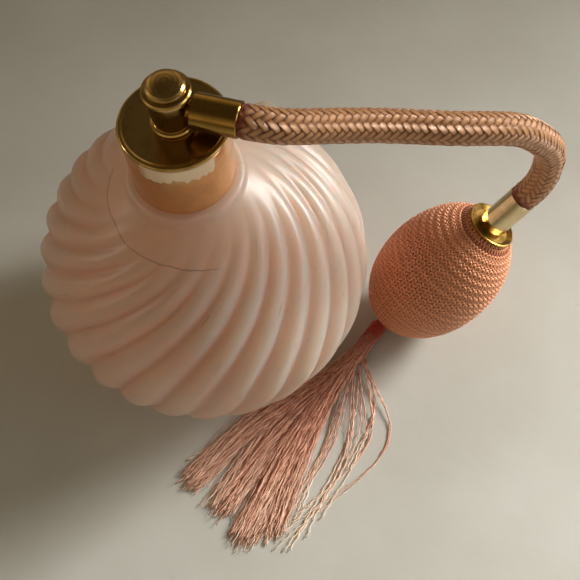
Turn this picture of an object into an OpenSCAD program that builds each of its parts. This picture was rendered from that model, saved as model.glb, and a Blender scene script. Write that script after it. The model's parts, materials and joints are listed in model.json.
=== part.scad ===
// Squeeze-bulb perfume atomiser: ribbed glass bottle, screwed spray head, braided hose,
// netted rubber bulb and tassel. Millimetres, +Z up, origin at the centre of the bottle's foot,
// +X along the hose barrel.

/* [Bottle] */
// Diameter of the glass body over the rib crests
body_d = 100; // [90:1:104]
// Height of the spheroid that the body follows
body_h = 90; // [84:1:92]
// Number of swirled ribs
rib_count = 24; // [16:1:32]
// Depth of the grooves between ribs at the widest place
rib_depth = 2.2; // [1:0.1:3]
// Turn of a rib from the widest place up to the neck, in degrees
rib_turn = 73; // [0:1:90]
// Turn of the whole rib pattern, in degrees
rib_start = -4.7; // [-7.5:0.1:7.5]
// Glass thickness under the crests
glass_wall = 4.5; // [3.5:0.5:6]
// Diameter of the flat foot
foot_d = 48; // [36:1:52]

/* [Neck and collar] */
// Outer diameter of the neck under its thread
neck_d = 21.8; // [21:0.1:22]
// Bore of the neck
neck_bore_d = 16; // [12:0.5:16.5]
// Pitch of the neck thread
thread_pitch = 3; // [2.6:0.1:3.4]
// Outer diameter of the collar
collar_d = 27.7; // [27.6:0.1:29]
// Height of the collar's outer shell
collar_h = 19.7; // [18:0.1:20]

/* [Spray head] */
// Diameter of the top plate over its rolled rim
plate_d = 28.6; // [28.6:0.1:30]
// Diameter of the spray post at its top
post_d = 10.6; // [10:0.1:11]
// Height of the post above the top plate
post_h = 11; // [10:0.5:14]
// Outer diameter of the hose barrel
barrel_d = 9.2; // [9:0.1:10]
// Distance from the post's axis to the barrel's mouth
barrel_reach = 18; // [18]

/* [Closure knob] */
// Diameter of the knob's skirt
knob_d = 12.2; // [11:0.1:13]
// Height of the knob
knob_h = 4.2; // [4:0.1:6]

/* [Hose] */
// Outer diameter of the braided sleeve
hose_d = 8.9; // [8.4:0.1:9]
// Outer diameter of the rubber core
core_d = 6.4; // [5.6:0.1:6.5]
// Bore of the rubber core
core_bore_d = 3.4; // [3.4:0.1:4]

/* [Squeeze bulb] */
// Diameter of the netted bulb
bulb_d = 38.4; // [38:0.1:39]
// Length of the netted bulb, before its front is cut flat
bulb_len = 56.8; // [56:0.1:58]
// Direction that the bulb's front end points, in degrees from +X
bulb_azimuth = 31.7; // [31:0.1:32]
// Angle of the bulb's axis above the table
bulb_tilt = 55.5; // [55:0.1:56]
// Diameter of the dished brass flange
flange_d = 16.3; // [14:0.1:18]
// Diameter of the hose ferrule
ferrule_d = 8.8; // [8.8:0.1:9.4]

/* [Tassel] */
// Height of the fan of threads on the table
tassel_h = 3.5; // [2:0.5:5]

/* [Hidden] */
$fn = 96;

// Fits
run = 0.05;       // radial clearance of a running fit
slip = 0.02;      // radial clearance of pieces fixed together
gap = 0.05;       // clearance between stacked faces that move apart

// Bottle
body_r = body_d / 2;
body_half = body_h / 2;
foot_r = foot_d / 2;
foot_angle = -acos(foot_r / body_r);
ring_r = 16;
ring_top = 93.3;
ring_angle = acos((ring_r + 0.8) / body_r);
shoulder_lift = 3.2;                    // how far the shoulder rises above the spheroid to meet the step ring
neck_r = neck_d / 2;
neck_bore_r = neck_bore_d / 2;
lip_z = 106;
rib_steps = 4;                          // points across one rib
body_rows = 22;
thread_turns = 1.5;
thread_h = 1;                           // radial height of the neck thread
neck_thread_z = 96.5;

// Collar
collar_r = collar_d / 2;
collar_wall = 0.6;
collar_z = 93.8;
collar_top = collar_z + collar_h;
liner_r = collar_r - collar_wall - slip;
liner_bore_r = 12.25;
liner_z = collar_z + 0.8;
hub_r = 9.5;                            // the part of the hub that the collar turns on
hub_flange_r = 11.2;
gasket_top = lip_z + 1.2;
hub_flange_top = 111.1;

// Head
plate_r = plate_d / 2;
plate_z = collar_top + 0.1;
rim_r = 0.8;
plate_face = plate_z + 1.35;
post_r = post_d / 2;
spigot_r = 3.5;
spigot_z = 110.6;
post_top = plate_face + post_h + 0.25;
post_bore_r = 2;
duct_r = 0.8;
barrel_r = barrel_d / 2;
barrel_z = 121.5;
barrel_start = post_r + 0.85;
barrel_floor = 8;
barrel_bore_r = 4.1;
tail_spigot_r = 2.5;
nozzle_r = 1.5;
tube_r = 1.5;
bush_r = 2.4;

// Closure
stem_r = post_bore_r - run;
needle_r = 1;
needle_tip = 118.6;
seal_z = 124;
knob_r = knob_d / 2;
knob_z = post_top + 0.3;
crimp_r = 1.5;

// Bulb, in its own frame: Z along its axis, origin at its centre
bulb_r = bulb_d / 2;
bulb_half = bulb_len / 2;
front = 25.7;                           // where the front is cut flat under the flange
net_t = 0.7;
rubber_t = 1.6;
ferrule_r = ferrule_d / 2;
ferrule_z = front + 0.75;
ferrule_end = 41.2;
ferrule_wall = 0.5;
flange_t = 0.6;
bulb_x = 69.5;
bulb_y = 23.5;
// Height at which the tilted bulb just rests on the table
bulb_z = sqrt(pow(bulb_half * sin(bulb_tilt), 2) + pow(bulb_r * cos(bulb_tilt), 2)) + 0.01;
bulb_axis = [cos(bulb_azimuth) * cos(bulb_tilt), sin(bulb_azimuth) * cos(bulb_tilt), sin(bulb_tilt)];
valve_r = 2.6;
seat_z = -25.6;
chamber_r = 1.5;
chamber_top = -21.6;
ball_r = 1.4;
ball_z = seat_z + sqrt(ball_r * ball_r - duct_r * duct_r) + 0.03;

// Hose route, from the barrel's mouth to the ferrule's mouth
hose_sides = 12;
hose_route = [
    [barrel_reach, 0, barrel_z],
    [25, 1, 120.5],
    [31, 4, 118],
    [37, 8, 115],
    [43, 11.5, 112.5],
    [49, 14.5, 110.5],
    [55.5, 17, 109],
    [62, 19, 108],
    [68.5, 21.5, 106.5],
    [74.5, 24.5, 104.5],
    [80, 28, 101.5],
    [84.5, 31.5, 97],
    [88, 34.5, 91.5],
    [91, 37.5, 85.5],
    [93, 39.5, 79],
    [93.5, 39.5, 72],
    [92.5, 38, 65.5],
    on_bulb_axis(ferrule_end)
];

// Tassel, on the table
knot_at = [53.4, 8.4, 3.2];
knot_aim = [-0.36, -0.93, 0];
fan_corners = [[8, -56], [15, -64], [31, -74], [42, -71], [58, -42], [60, -16]];

brass = [0.62, 0.5, 0.3];
rose_gold = [0.83, 0.63, 0.5];
pale_gold = [0.82, 0.74, 0.6];
pink_glass = [0.95, 0.78, 0.74];
salmon = [0.85, 0.56, 0.45];

function on_bulb_axis(z) = [bulb_x, bulb_y, bulb_z] + z * bulb_axis;

function unit(v) = v / norm(v);

// Half of an ellipse as a profile, from angle a0 to a1 above the equator
function ellipse_arc(r, half, a0, a1, steps) =
    [for (i = [0:steps]) let (a = a0 + (a1 - a0) * i / steps) [r * cos(a), half * sin(a)]];

// How far the ribs have turned at an angle above the widest place
function rib_phase(a) = rib_start + rib_turn * (0.32 * a / 70 + 0.68 * pow(a, 2) / 4900 * sign(a));

// From 0 to 1 with flat ends
function ease(u) = let (v = min(1, max(0, u))) v * v * (3 - 2 * v);

// The grooves run out before the step ring, and before the foot
function rib_fade(a) = ease((72 - a) / 26) * min(1, (a - foot_angle) / 20);

// One point on the ribbed body: a is the angle above the widest place, t the angle round it
function rib_point(a, t) =
    let (
        groove = rib_depth * rib_fade(a) * cos(a) * (1 - abs(cos(rib_count * (t - rib_phase(a)) / 2)))
    )
    [
        (body_r - groove) * cos(a) * cos(t),
        (body_r - groove) * cos(a) * sin(t),
        body_half + (body_half - groove) * sin(a) + shoulder_lift * pow(max(0, a - 50) / (ring_angle - 50), 2)
    ];

// Rows of points joined into one closed skin; every row has the same count
function skin_faces(rows, count) = concat(
    [for (i = [0:rows - 2]) for (j = [0:count - 1])
        [i * count + j, (i + 1) * count + j, (i + 1) * count + (j + 1) % count]],
    [for (i = [0:rows - 2]) for (j = [0:count - 1])
        [i * count + j, (i + 1) * count + (j + 1) % count, i * count + (j + 1) % count]],
    [[for (j = [0:count - 1]) j]],
    [[for (j = [count - 1:-1:0]) (rows - 1) * count + j]]
);

// A helical ridge: base radius, crest radius, half widths at base and crest
module ridge(base_r, crest_r, base_w, crest_w, z0, turns) {
    per_turn = 24;
    rows = turns * per_turn + 1;
    section = [[base_r, -base_w], [base_r, base_w], [crest_r, crest_w], [crest_r, -crest_w]];
    points = [for (i = [0:rows - 1]) for (p = section)
        let (t = 360 * i / per_turn)
        [p[0] * cos(t), p[0] * sin(t), z0 + p[1] + thread_pitch * t / 360]];
    faces = skin_faces(rows, 4);
    polyhedron(points = points, faces = crest_r > base_r ? faces : [for (f = faces) [for (i = [len(f) - 1:-1:0]) f[i]]]);
}

// Direction of a route at point i
function heading(route, i) =
    unit(route[min(i + 1, len(route) - 1)] - route[max(i - 1, 0)]);

// A round tube swept along a route, with the route's first and last directions given
module swept_tube(route, outer_r, inner_r, first, last) {
    n = len(route);
    aims = [for (i = [0:n - 1]) i == 0 ? first : i == n - 1 ? last : heading(route, i)];
    function ring(i, r) =
        let (side = unit(cross([0.2, -0.9, 0.3], aims[i])), up = cross(aims[i], side))
        [for (k = [0:hose_sides - 1])
            let (t = 360 * k / hose_sides)
            route[i] + r * (cos(t) * side + sin(t) * up)];
    points = concat([for (i = [0:n - 1]) each ring(i, outer_r)], [for (i = [0:n - 1]) each ring(i, inner_r)]);
    m = hose_sides;
    inner = n * m;
    faces = concat(
        [for (i = [0:n - 2]) for (k = [0:m - 1])
            [i * m + k, (i + 1) * m + k, (i + 1) * m + (k + 1) % m, i * m + (k + 1) % m]],
        [for (i = [0:n - 2]) for (k = [0:m - 1])
            [inner + i * m + (k + 1) % m, inner + (i + 1) * m + (k + 1) % m,
             inner + (i + 1) * m + k, inner + i * m + k]],
        [for (k = [0:m - 1]) [k, (k + 1) % m, inner + (k + 1) % m, inner + k]],
        [for (k = [0:m - 1])
            [(n - 1) * m + (k + 1) % m, (n - 1) * m + k,
             inner + (n - 1) * m + k, inner + (n - 1) * m + (k + 1) % m]]
    );
    // Each quad as two triangles, so that every face is flat
    polyhedron(points = points, faces = [for (f = faces) each [[f[0], f[1], f[2]], [f[0], f[2], f[3]]]]);
}

module along_barrel() {
    translate([0, 0, barrel_z]) rotate([0, 90, 0]) children();
}

module on_bulb() {
    translate([bulb_x, bulb_y, bulb_z]) rotate([0, 90 - bulb_tilt, bulb_azimuth]) children();
}

// A tube or ring: radii and lowest and highest z
module ring_solid(outer_r, inner_r, z0, z1) {
    difference() {
        translate([0, 0, z0]) cylinder(r = outer_r, h = z1 - z0);
        translate([0, 0, z0 - 1]) cylinder(r = inner_r, h = z1 - z0 + 2);
    }
}

module glass_bottle() {
    count = rib_count * rib_steps;
    rows = [for (i = [0:body_rows]) foot_angle + (ring_angle - foot_angle) * i / body_rows];
    color(pink_glass)
    difference() {
        union() {
            polyhedron(
                points = [for (a = rows) for (j = [0:count - 1]) rib_point(a, 360 * j / count)],
                faces = skin_faces(len(rows), count)
            );
            // Foot
            rotate_extrude() polygon([
                [0, 0], [foot_r - 3.5, 0], [foot_r - 2.6, 0.4], [foot_r - 1.2, 2.4], [foot_r + 0.15, 5.2],
                [foot_r + 0.15, 6.2], [foot_r - 2, 8], [0, 8]
            ]);
            // Step ring and neck
            rotate_extrude() polygon([
                [neck_bore_r - 1, 86], [ring_r, 86], [ring_r, ring_top - 1.2], [ring_r - 0.35, ring_top - 0.35],
                [ring_r - 1.2, ring_top], [neck_r + 0.6, ring_top], [neck_r, ring_top + 0.6],
                [neck_r, lip_z - 0.5], [neck_r - 0.5, lip_z], [neck_bore_r - 1, lip_z]
            ]);
            ridge(neck_r - 0.4, neck_r + thread_h, 1.1, 0.4, neck_thread_z, thread_turns);
        }
        // Inside
        translate([0, 0, body_half]) rotate_extrude() polygon(concat(
            [[0, -body_half + glass_wall]],
            ellipse_arc(body_r - glass_wall, body_half - glass_wall, -84, 80, 20),
            [[0, body_half - glass_wall - 0.4]]
        ));
        translate([0, 0, 80]) cylinder(r = neck_bore_r, h = 30);
    }
}

module collar_shell() {
    color(rose_gold)
    rotate_extrude() polygon([
        [collar_r - collar_wall, collar_z + 0.4], [collar_r - 0.3, collar_z], [collar_r, collar_z + 0.4],
        [collar_r, collar_top - 0.5], [collar_r - 0.5, collar_top], [hub_r + run, collar_top],
        [hub_r + run, collar_top - collar_wall], [collar_r - collar_wall, collar_top - collar_wall]
    ]);
}

module collar_liner() {
    color("ivory") {
        ring_solid(liner_r, liner_bore_r, liner_z, hub_flange_top + gap);
        ring_solid(liner_r, hub_r + run, hub_flange_top + gap, collar_top - collar_wall - slip);
        ridge(liner_bore_r + 0.4, liner_bore_r - 0.9, 0.9, 0.3, neck_thread_z + thread_pitch / 2, thread_turns);
    }
}

module neck_gasket() {
    color("dimgray") ring_solid(neck_r - 0.2, neck_bore_r + 0.3, lip_z, gasket_top);
}

module head_hub() {
    color("ivory")
    rotate_extrude() polygon([
        [bush_r, gasket_top], [hub_flange_r, gasket_top], [hub_flange_r, hub_flange_top], [hub_r, hub_flange_top],
        [hub_r, plate_z], [spigot_r, plate_z], [spigot_r, spigot_z - 0.1], [bush_r, spigot_z - 0.1]
    ]);
}

module top_plate() {
    rim_at = plate_r - rim_r;
    color(brass)
    rotate_extrude() polygon(concat(
        [[spigot_r, plate_face], [spigot_r, plate_z]],
        [for (a = [-90:15:120]) [rim_at + rim_r * cos(a), plate_z + rim_r + rim_r * sin(a)]],
        [[rim_at - 0.75, plate_face]]
    ));
}

module spray_post() {
    color(brass)
    difference() {
        rotate_extrude() polygon([
            [duct_r, spigot_z], [spigot_r - slip, spigot_z], [spigot_r - slip, plate_face],
            [post_r + 0.1, plate_face], [post_r + 0.3, plate_face + 0.3], [post_r + 0.3, plate_face + 1.1],
            [post_r, plate_face + 1.5], [post_r - 0.4, plate_face + 1.7], [post_r, post_top - 3],
            [post_r, post_top - 0.4], [post_r - 0.4, post_top], [duct_r, post_top]
        ]);
        translate([0, 0, 118]) cylinder(r = post_bore_r, h = 20);
        along_barrel() cylinder(r = tail_spigot_r, h = 10);
        along_barrel() translate([0, 0, -10]) cylinder(r = nozzle_r, h = 10);
    }
}

module spray_nozzle() {
    tip = post_r + 0.5;
    color(brass)
    along_barrel() rotate([180, 0, 0]) rotate_extrude() polygon([
        [0.35, 2.6], [nozzle_r - slip, 2.6], [nozzle_r - slip, tip - 0.3], [nozzle_r - 0.3, tip],
        [0.9, tip], [0.35, tip - 0.6]
    ]);
}

module hose_barrel() {
    color(brass)
    along_barrel() rotate_extrude() polygon([
        [1.6, 3.4], [tail_spigot_r - slip, 3.4], [tail_spigot_r - slip, barrel_start],
        [barrel_r - 0.3, barrel_start], [barrel_r, barrel_start + 0.3], [barrel_r, barrel_reach - 0.2],
        [barrel_r - 0.2, barrel_reach], [barrel_bore_r, barrel_reach], [barrel_bore_r, barrel_floor],
        [1.6, barrel_floor]
    ]);
}

module hose_nipple() {
    color("silver")
    along_barrel() rotate_extrude() polygon([
        [duct_r, 5.7], [1.6 - slip, 5.7], [1.6 - slip, barrel_floor], [3, barrel_floor],
        [3, barrel_floor + 0.8], [1.3, barrel_floor + 0.8], [1.3, 12], [1.6, 12], [1.3, 14.5],
        [1.6, 14.5], [1.25, 17.4], [duct_r, 17.4]
    ]);
}

module siphon_bush() {
    color("dimgray") ring_solid(bush_r - slip, tube_r + slip, gasket_top, spigot_z - 0.15);
}

module siphon_tube() {
    color([0.95, 0.95, 0.92])
    difference() {
        translate([0, 0, 9]) cylinder(r = tube_r, h = spigot_z - 0.2 - 9);
        translate([0, 0, 8]) cylinder(r = duct_r, h = 110);
        // Slanted intake end
        translate([0, 0, 8]) rotate([0, 40, 0]) translate([-5, -5, -4]) cube([10, 10, 4]);
    }
}

module closure_seal() {
    color("dimgray") translate([0, 0, seal_z + 0.5]) rotate_extrude() translate([1.7, 0]) circle(r = 0.25, $fn = 32);
}

module closure_stem() {
    color(brass)
    rotate_extrude() polygon([
        [0, needle_tip], [needle_r, needle_tip + 1.6], [needle_r, seal_z - 0.7], [stem_r, seal_z - 0.7],
        [stem_r, seal_z + 0.2], [crimp_r - 0.08, seal_z + 0.2], [crimp_r - 0.08, seal_z + 0.8],
        [stem_r, seal_z + 0.8], [stem_r, knob_z], [crimp_r, knob_z], [crimp_r, knob_z + 2], [0, knob_z + 2]
    ]);
}

module closure_knob() {
    dome_r = knob_r - 1.15;
    dome_z = knob_z + 2.3;
    color(brass)
    rotate_extrude() polygon(concat(
        [
            [crimp_r + slip, knob_z], [knob_r - 0.3, knob_z], [knob_r, knob_z + 0.3], [knob_r, knob_z + 1.1],
            [knob_r - 0.35, knob_z + 1.5], [dome_r - 0.25, knob_z + 1.7], [dome_r, knob_z + 2]
        ],
        [for (a = [0:15:75]) [dome_r * cos(a), dome_z + (knob_h - 2.3) * sin(a)]],
        [[0, knob_z + knob_h], [0, knob_z + 2 + slip], [crimp_r + slip, knob_z + 2 + slip]]
    ));
}

module hose_core() {
    inner_route = concat([[barrel_floor + 1.5, 0, barrel_z]], hose_route, [on_bulb_axis(32)]);
    color("tan") swept_tube(inner_route, core_d / 2, core_bore_d / 2, [1, 0, 0], -bulb_axis);
}

module hose_braid() {
    color(salmon) swept_tube(hose_route, hose_d / 2, core_d / 2 + 0.2, [1, 0, 0], -bulb_axis);
}

module hose_ferrule() {
    color(pale_gold)
    on_bulb() rotate_extrude() polygon([
        [2 + slip, ferrule_z], [ferrule_r, ferrule_z], [ferrule_r, ferrule_end - 0.15],
        [ferrule_r - 0.15, ferrule_end], [ferrule_r - ferrule_wall, ferrule_end],
        [ferrule_r - ferrule_wall, ferrule_z + 3], [2 + slip, ferrule_z + 0.8]
    ]);
}

module bulb_flange() {
    rim = flange_d / 2;
    color([0.8, 0.66, 0.36])
    on_bulb() rotate_extrude() polygon([
        [2 + slip, front + 0.05], [rim - 1.6, front + 0.05], [rim - 0.3, front + 0.7], [rim, front + 1.2],
        [rim - 0.15, front + 1.6], [rim - 0.5, front + 1.65], [rim - 1.9, front + 0.05 + flange_t],
        [2 + slip, front + 0.05 + flange_t]
    ]);
}

module bulb_nipple() {
    color("silver")
    on_bulb() rotate_extrude() polygon([
        [0.9, 21.2], [2, 21.2], [2, 27.6], [1.6, 28.4], [1.3, 33], [1.6, 33], [1.25, 36], [0.9, 36]
    ]);
}

module clamp_nut() {
    color(brass)
    on_bulb() difference() {
        translate([0, 0, 21.7]) cylinder(r = 4.2, h = 1.6, $fn = 6);
        translate([0, 0, 20]) cylinder(r = 2 + slip, h = 6);
    }
}

// A hollow egg cut flat at the front, with a hole at each end
module egg_shell(r, half, wall, cut, front_hole, tail_hole) {
    outer_cut = asin(cut / half);
    inner_cut = asin((cut - wall) / (half - wall));
    outer = ellipse_arc(r, half, -90, outer_cut, 20);
    inner = ellipse_arc(r - wall, half - wall, -90, inner_cut, 20);
    difference() {
        rotate_extrude() polygon(concat(outer, [[0, cut]]));
        rotate_extrude() polygon(concat(inner, [[0, cut - wall]]));
        cylinder(r = front_hole, h = half);
        translate([0, 0, -half - 1]) cylinder(r = tail_hole, h = half);
    }
}

module rubber_bulb() {
    color("rosybrown")
    on_bulb() egg_shell(bulb_r - net_t - 0.05, bulb_half - net_t - 0.05, rubber_t, front - net_t - 0.05, 2 + slip, valve_r + slip);
}

module net_cover() {
    color(salmon) on_bulb() egg_shell(bulb_r, bulb_half, net_t, front, 2 + slip, 1.2);
}

module intake_valve_body() {
    color("silver")
    on_bulb() rotate_extrude() polygon([
        [duct_r, -27.2], [valve_r, -27.2], [valve_r, -25.3], [3.4, -25.3], [3.4, -24.6], [valve_r, -24.6],
        [valve_r, chamber_top], [chamber_r, chamber_top], [chamber_r, seat_z], [duct_r, seat_z]
    ]);
}

module intake_ball() {
    color("gray") on_bulb() translate([0, 0, ball_z]) sphere(r = ball_r);
}

module ball_retainer() {
    color("silver") on_bulb() ring_solid(valve_r, duct_r, chamber_top, chamber_top + 0.8);
}

// Turns of thread wound round the gathered threads
module tassel_binding() {
    turn = 0.55;
    color([0.6, 0.25, 0.22])
    translate(knot_at) rotate([90, 0, atan2(knot_aim[1], knot_aim[0]) + 90]) rotate_extrude()
        polygon(concat(
            [[1.2, -4 * turn], [1.2, 4 * turn]],
            [for (i = [3:-1:-4]) for (a = [60:-30:-60])
                [2.2 + turn * cos(a), (i + 0.5) * turn + 0.5 * turn * sin(a)]]
        ));
}

module tassel() {
    color([0.93, 0.6, 0.5])
    hull() {
        translate(knot_at + 4.1 * knot_aim) sphere(r = 1.8, $fn = 24);
        for (c = fan_corners) translate([c[0], c[1], 0.3]) cylinder(r = 2, h = tassel_h - 0.3, $fn = 16);
    }
}

glass_bottle();
collar_shell();
collar_liner();
neck_gasket();
head_hub();
top_plate();
spray_post();
spray_nozzle();
hose_barrel();
hose_nipple();
siphon_bush();
siphon_tube();
closure_seal();
closure_stem();
closure_knob();
hose_core();
hose_braid();
hose_ferrule();
bulb_flange();
bulb_nipple();
clamp_nut();
rubber_bulb();
net_cover();
intake_valve_body();
intake_ball();
ball_retainer();
tassel_binding();
tassel();
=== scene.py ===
import bpy
import json
import math
import numpy as np
from mathutils import Matrix, Vector


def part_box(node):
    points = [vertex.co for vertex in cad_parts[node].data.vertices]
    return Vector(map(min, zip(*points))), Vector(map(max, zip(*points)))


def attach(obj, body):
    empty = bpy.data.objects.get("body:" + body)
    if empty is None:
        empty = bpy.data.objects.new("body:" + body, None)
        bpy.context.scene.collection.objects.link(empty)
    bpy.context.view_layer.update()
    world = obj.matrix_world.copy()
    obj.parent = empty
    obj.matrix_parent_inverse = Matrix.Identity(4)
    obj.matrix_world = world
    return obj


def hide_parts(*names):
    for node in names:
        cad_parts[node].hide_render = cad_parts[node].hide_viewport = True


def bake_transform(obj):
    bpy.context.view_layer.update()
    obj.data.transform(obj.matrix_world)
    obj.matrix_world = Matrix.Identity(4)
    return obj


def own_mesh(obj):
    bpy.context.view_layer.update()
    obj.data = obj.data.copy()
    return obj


# Squeeze-bulb perfume atomiser: the looks. Metres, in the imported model's frame.
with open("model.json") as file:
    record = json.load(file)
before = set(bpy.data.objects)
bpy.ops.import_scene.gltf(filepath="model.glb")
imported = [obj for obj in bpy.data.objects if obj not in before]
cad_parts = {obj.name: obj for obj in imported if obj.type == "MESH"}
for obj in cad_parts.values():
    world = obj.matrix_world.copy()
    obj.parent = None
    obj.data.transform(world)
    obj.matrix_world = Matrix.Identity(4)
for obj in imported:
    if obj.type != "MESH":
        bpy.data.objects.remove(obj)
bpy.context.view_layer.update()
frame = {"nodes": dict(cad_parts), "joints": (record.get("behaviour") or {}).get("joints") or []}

MM = 0.001
TAU = 2 * math.pi
random = np.random.default_rng(11)

# ---------------------------------------------------------------- places, from the frame
glass_low, glass_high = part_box("glass_bottle")
body_r = 0.5 * (glass_high.x - glass_low.x)
lip_z = glass_high.z
_, collar_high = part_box("collar_shell")
joints = {joint["name"]: joint for joint in frame["joints"]}
bulb_axis = np.array(joints["bulb_squeeze"]["axis"])
ball_low, ball_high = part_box("intake_ball")
BALL_DEPTH = 24.42 * MM                     # from the bulb's centre back to the valve ball's
bulb_centre = 0.5 * np.array(ball_low + ball_high) + BALL_DEPTH * bulb_axis
knot_low, knot_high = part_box("tassel_binding")
knot_centre = 0.5 * np.array(knot_low + knot_high)
KNOT_AIM = np.array([-0.361, -0.932, 0.0])  # the way the tassel's threads leave the binding


# ---------------------------------------------------------------- vectors and meshes
def unit(v):
    v = np.asarray(v, float)
    return v / np.linalg.norm(v, axis=-1, keepdims=True)


def smooth(x):
    """From 0 to 1 with flat ends."""
    x = np.clip(x, 0, 1)
    return x * x * (3 - 2 * x)


def add_mesh(name, points, faces, values=None):
    """A smooth-shaded mesh object; values are named numbers, one for each point, that materials read."""
    mesh = bpy.data.meshes.new(name)
    mesh.from_pydata(np.asarray(points).tolist(), [], [list(f) for f in faces])
    for key, numbers in (values or {}).items():
        attribute = mesh.attributes.new(key, "FLOAT", "POINT")
        attribute.data.foreach_set("value", np.asarray(numbers, np.float32).ravel())
    mesh.shade_smooth()
    mesh.update()
    piece = bpy.data.objects.new(name, mesh)
    bpy.context.scene.collection.objects.link(piece)
    return piece


def ring_quads(rows, count, first=0, closed=False):
    """Quads between rows of points, each row a closed ring; closed joins the last row to the first."""
    i, j = np.meshgrid(np.arange(rows if closed else rows - 1), np.arange(count), indexing="ij")
    k = (j + 1) % count
    above = (i + 1) % rows
    corners = [i * count + j, i * count + k, above * count + k, above * count + j]
    return (first + np.stack(corners, axis=-1).reshape(-1, 4)).tolist()


def end_caps(rows, count, first=0):
    """The two flat ends of a run of rings."""
    start = [first + j for j in reversed(range(count))]
    end = [first + (rows - 1) * count + j for j in range(count)]
    return [start, end]


def tidy_normals(piece, angle=35):
    """Smooth shading with edges sharper than the angle kept crisp."""
    piece.data.set_sharp_from_angle(angle=math.radians(angle))


def clamped_spline(route, first, last, count):
    """Evenly spaced points on the smooth curve through a route, with its end directions given."""
    p = np.array(route, float)
    h = np.linalg.norm(np.diff(p, axis=0), axis=1)
    n = len(p)
    left = np.eye(n)
    right = np.zeros((n, 3))
    right[0] = first
    right[-1] = last
    for i in range(1, n - 1):
        left[i, i - 1:i + 2] = h[i], 2 * (h[i - 1] + h[i]), h[i - 1]
        right[i] = 3 * (h[i] * (p[i] - p[i - 1]) / h[i - 1] + h[i - 1] * (p[i + 1] - p[i]) / h[i])
    slope = np.linalg.solve(left, right)
    between_points = 24
    t = np.linspace(0, 1, between_points, endpoint=False)[:, None]
    dense = []
    for i in range(n - 1):
        dense.append(
            (2 * t ** 3 - 3 * t ** 2 + 1) * p[i] + (t ** 3 - 2 * t ** 2 + t) * h[i] * slope[i]
            + (3 * t ** 2 - 2 * t ** 3) * p[i + 1] + (t ** 3 - t ** 2) * h[i] * slope[i + 1]
        )
    dense = np.vstack(dense + [p[-1:]])
    return evenly(dense, count)


def evenly(points, count):
    """Points moved to even spacing along their polyline."""
    step = np.linalg.norm(np.diff(points, axis=0), axis=1)
    run = np.concatenate([[0], np.cumsum(step)])
    at = np.linspace(0, run[-1], count)
    return np.stack([np.interp(at, run, points[:, k]) for k in range(3)], axis=-1)


def length_of(points):
    """The length of a polyline."""
    return float(np.linalg.norm(np.diff(points, axis=0), axis=1).sum())


def carried_frames(points):
    """Side and up at each point of a path, carried along it without twist."""
    tangent = unit(np.gradient(points, axis=0))
    up = np.zeros_like(tangent)
    carried = np.array([0.0, 0.0, 1.0])
    for i, t in enumerate(tangent):
        carried = unit(carried - (carried @ t) * t)
        up[i] = carried
    return np.cross(up, tangent), up


def swept(points, side, up, outline):
    """Rings of an outline (across, outwards) carried along points, as one array of vertices."""
    outline = np.asarray(outline)
    rings = points[:, None] + outline[None, :, :1] * side[:, None] + outline[None, :, 1:] * up[:, None]
    return rings.reshape(-1, 3)


def oval(width, height, count):
    """An oval outline, anticlockwise."""
    angle = TAU * np.arange(count) / count
    return np.stack([0.5 * width * np.cos(angle), 0.5 * height * np.sin(angle)], axis=-1)


def ribbed_oval(width, height, count, yarns):
    """An oval outline with a groove between each two of the yarns that lie side by side in it."""
    groove_depth = 0.45                     # as a share of half the oval's height
    outline = oval(width, height, count)
    groove = np.cos(math.pi * yarns * (outline[:, 0] / width + 0.5)) ** 2
    outline[:, 1] *= 1 - groove_depth * groove * np.abs(outline[:, 1]) / (0.5 * height)
    return outline


class Bundle:
    """Many separate strands gathered into one mesh."""

    def __init__(self):
        self.points = []
        self.faces = []
        self.values = {}
        self.total = 0

    def add(self, rings, rows, count, closed=False, **values):
        """Take in a strand of rows rings of count points each; closed joins its last ring to its first."""
        self.points.append(rings)
        self.faces += ring_quads(rows, count, self.total, closed)
        if not closed:
            self.faces += end_caps(rows, count, self.total)
        for key, numbers in values.items():
            self.values.setdefault(key, []).append(numbers)
        self.total += len(rings)

    def piece(self, name):
        """The mesh object of all the strands."""
        values = {key: np.concatenate(parts) for key, parts in self.values.items()}
        return add_mesh(name, np.vstack(self.points), self.faces, values)


# ---------------------------------------------------------------- materials
def linear(code):
    """A hex colour as linear light."""
    parts = [int(code[i:i + 2], 16) / 255 for i in (1, 3, 5)]
    return tuple(c / 12.92 if c <= 0.04045 else ((c + 0.055) / 1.055) ** 2.4 for c in parts) + (1.0,)


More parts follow.
